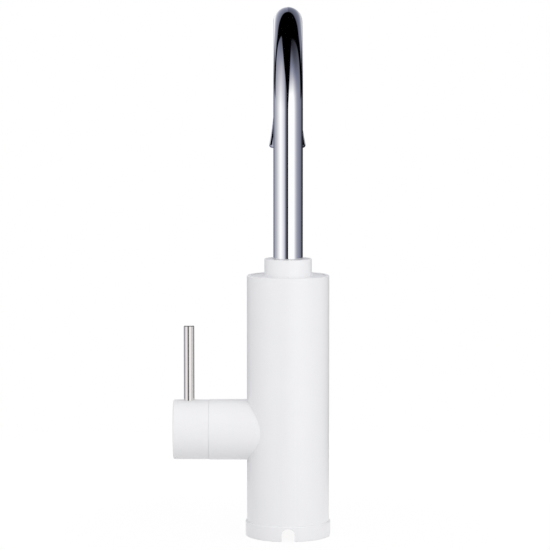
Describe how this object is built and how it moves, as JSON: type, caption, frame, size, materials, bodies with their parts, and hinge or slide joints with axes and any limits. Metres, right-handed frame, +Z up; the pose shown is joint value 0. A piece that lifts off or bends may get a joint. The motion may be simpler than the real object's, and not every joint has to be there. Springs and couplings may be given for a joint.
{
  "type": "electric instant water heater tap",
  "caption": "Electric instant water heater tap: round white body on a slotted base, side knob with a steel pin lever, and a chromed gooseneck spout that swivels on top.",
  "frame": {"origin": "centre of the base's underside, on the body's axis", "axes": "+Z up, -Y the way the spout points (the user's side), +X the way the valve arm points (the user's right), +Y the back with the lead's slot"},
  "size_m": [0.1133, 0.1684, 0.3805],
  "materials": {
    "white_plastic": "satin moulded",
    "chrome": "polished plating",
    "lever_steel": "satin",
    "tank_steel": "drawn",
    "screw_steel": "zinc plated",
    "brass": "machined",
    "rubber": "matt",
    "grey_plastic": "glass-filled moulding",
    "dark_plastic": "fine matt",
    "acetal": "machined",
    "ceramic": "lapped",
    "magnet": "nickel plated",
    "circuit_board": "solder mask",
    "terminal_plastic": "moulded",
    "lead_insulation": "silicone sleeve",
    "lamp_lens": "frosted",
    "lamp_epoxy": "clear tinted",
    "aerator_plastic": "fine matt"
  },
  "bodies": {
    "tap_body": {"body_shell": "white_plastic", "base_skirt": "white_plastic", "base_gasket": "rubber", "base_screws": "screw_steel", "cable_gland": "rubber", "inlet_fitting": "brass", "inlet_washer": "rubber", "inlet_nut": "brass", "inlet_filter": "tank_steel", "spigot_rings": "rubber", "flow_sensor_body": "grey_plastic", "flow_spider": "acetal", "turbine_axle": "tank_steel", "flow_pickup": "dark_plastic", "valve_body": "grey_plastic", "valve_lock_ring": "acetal", "cartridge_seal": "rubber", "fixed_disc": "ceramic", "cartridge_housing": "acetal", "cartridge_nut": "brass", "handle_sensor": "circuit_board", "handle_sensor_lead": "lead_insulation", "top_cap": "white_plastic", "collar_nut": "white_plastic", "swivel_bush": "acetal", "tank_can": "tank_steel", "tank_base": "tank_steel", "tank_seal": "rubber", "tank_screws": "screw_steel", "heating_element": "tank_steel", "element_nuts": "brass", "thermal_cutout": "dark_plastic", "temperature_probe": "tank_steel", "heater_leads": "lead_insulation", "probe_lead": "lead_insulation", "control_board": "circuit_board", "terminal_block": "terminal_plastic", "power_relay": "dark_plastic", "lamp_header": "acetal", "indicator_lens": "lamp_lens", "indicator_lamp": "lamp_epoxy", "indicator_board": "circuit_board", "indicator_lead": "lead_insulation"},
    "spout": {"spout_tube": "chrome", "spout_foot": "brass", "spout_rings": "rubber", "spout_nozzle": "chrome", "aerator_insert": "aerator_plastic", "aerator_washer": "rubber"},
    "handle": {"handle_knob": "white_plastic", "lever_pin": "lever_steel", "knob_grub_screw": "screw_steel", "position_magnet": "magnet", "cartridge_stem": "brass", "moving_disc": "ceramic", "stem_seal": "rubber"},
    "turbine": {"flow_turbine": "acetal", "turbine_magnet": "magnet"}
  },
  "joints": [
    {"name": "spout_swivel", "type": "hinge", "parent": "tap_body", "child": "spout", "pos_m": [0, 0, 0.19], "axis": [0, 0, 1], "continuous": true},
    {"name": "handle_turn", "type": "hinge", "parent": "tap_body", "child": "handle", "pos_m": [0.0571, 0, 0.0768], "axis": [1, 0, 0], "range_deg": [-90, 90]},
    {"name": "turbine_spin", "type": "hinge", "parent": "tap_body", "child": "turbine", "pos_m": [0, 0, 0.038], "axis": [0, 0, 1], "continuous": true}
  ]
}
